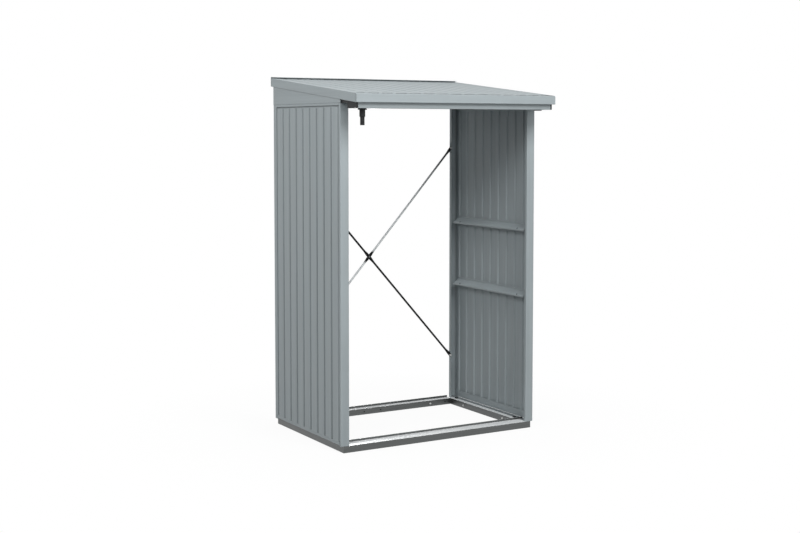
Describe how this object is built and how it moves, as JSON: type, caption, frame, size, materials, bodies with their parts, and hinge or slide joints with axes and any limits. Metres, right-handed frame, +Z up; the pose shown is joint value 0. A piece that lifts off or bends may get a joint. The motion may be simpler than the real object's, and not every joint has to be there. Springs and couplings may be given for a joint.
{
  "type": "log store",
  "caption": "Open-fronted sheet-metal log store with grooved side walls, sloping roof, front gutter with hose outlet and crossed rear braces.",
  "frame": {"origin": "on the ground, in the middle of the roof's outline seen from above", "axes": "+X along the width to the right as seen from the front, +Y from front to back, +Z up"},
  "size_m": [1.241, 1.02, 1.99],
  "materials": {
    "floor_frame": "plain mill aluminium",
    "rising_brace": "galvanised",
    "falling_brace": "galvanised",
    "black_plastic": "moulded, slightly grained",
    "gutter": "satin baked coat, pale blue grey",
    "wall_cladding": "satin baked coat, pale blue grey",
    "roof_cladding": "satin baked coat, pale blue grey",
    "fascia": "satin baked coat, pale blue grey",
    "post": "satin baked coat, pale blue grey",
    "inner_sheet": "satin baked coat, pale blue grey",
    "edge_sheet": "satin baked coat, pale blue grey"
  },
  "bodies": {
    "root": {"falling_brace": "falling_brace", "front_beam": "inner_sheet", "front_fascia": "fascia", "front_sill": "floor_frame", "gutter_apron": "gutter", "gutter_back": "gutter", "gutter_face": "gutter", "gutter_floor": "gutter", "left_fascia": "fascia", "left_foot_channel": "edge_sheet", "left_foot_seal": "black_plastic", "left_front_post": "post", "left_gable": "edge_sheet", "left_gutter_cap": "black_plastic", "left_head_channel": "edge_sheet", "left_lower_stiffener": "inner_sheet", "left_rail": "floor_frame", "left_rear_post": "post", "left_upper_stiffener": "inner_sheet", "left_wall_panel": "wall_cladding", "outlet_plug": "black_plastic", "outlet_stub": "black_plastic", "rear_beam": "inner_sheet", "rear_fascia": "fascia", "rear_rail": "floor_frame", "right_fascia": "fascia", "right_foot_channel": "edge_sheet", "right_foot_seal": "black_plastic", "right_front_post": "post", "right_gable": "edge_sheet", "right_gutter_cap": "black_plastic", "right_head_channel": "edge_sheet", "right_lower_stiffener": "inner_sheet", "right_rail": "floor_frame", "right_rear_post": "post", "right_upper_stiffener": "inner_sheet", "right_wall_panel": "wall_cladding", "rising_brace": "rising_brace", "roof_sheet": "roof_cladding"}
  },
  "joints": []
}
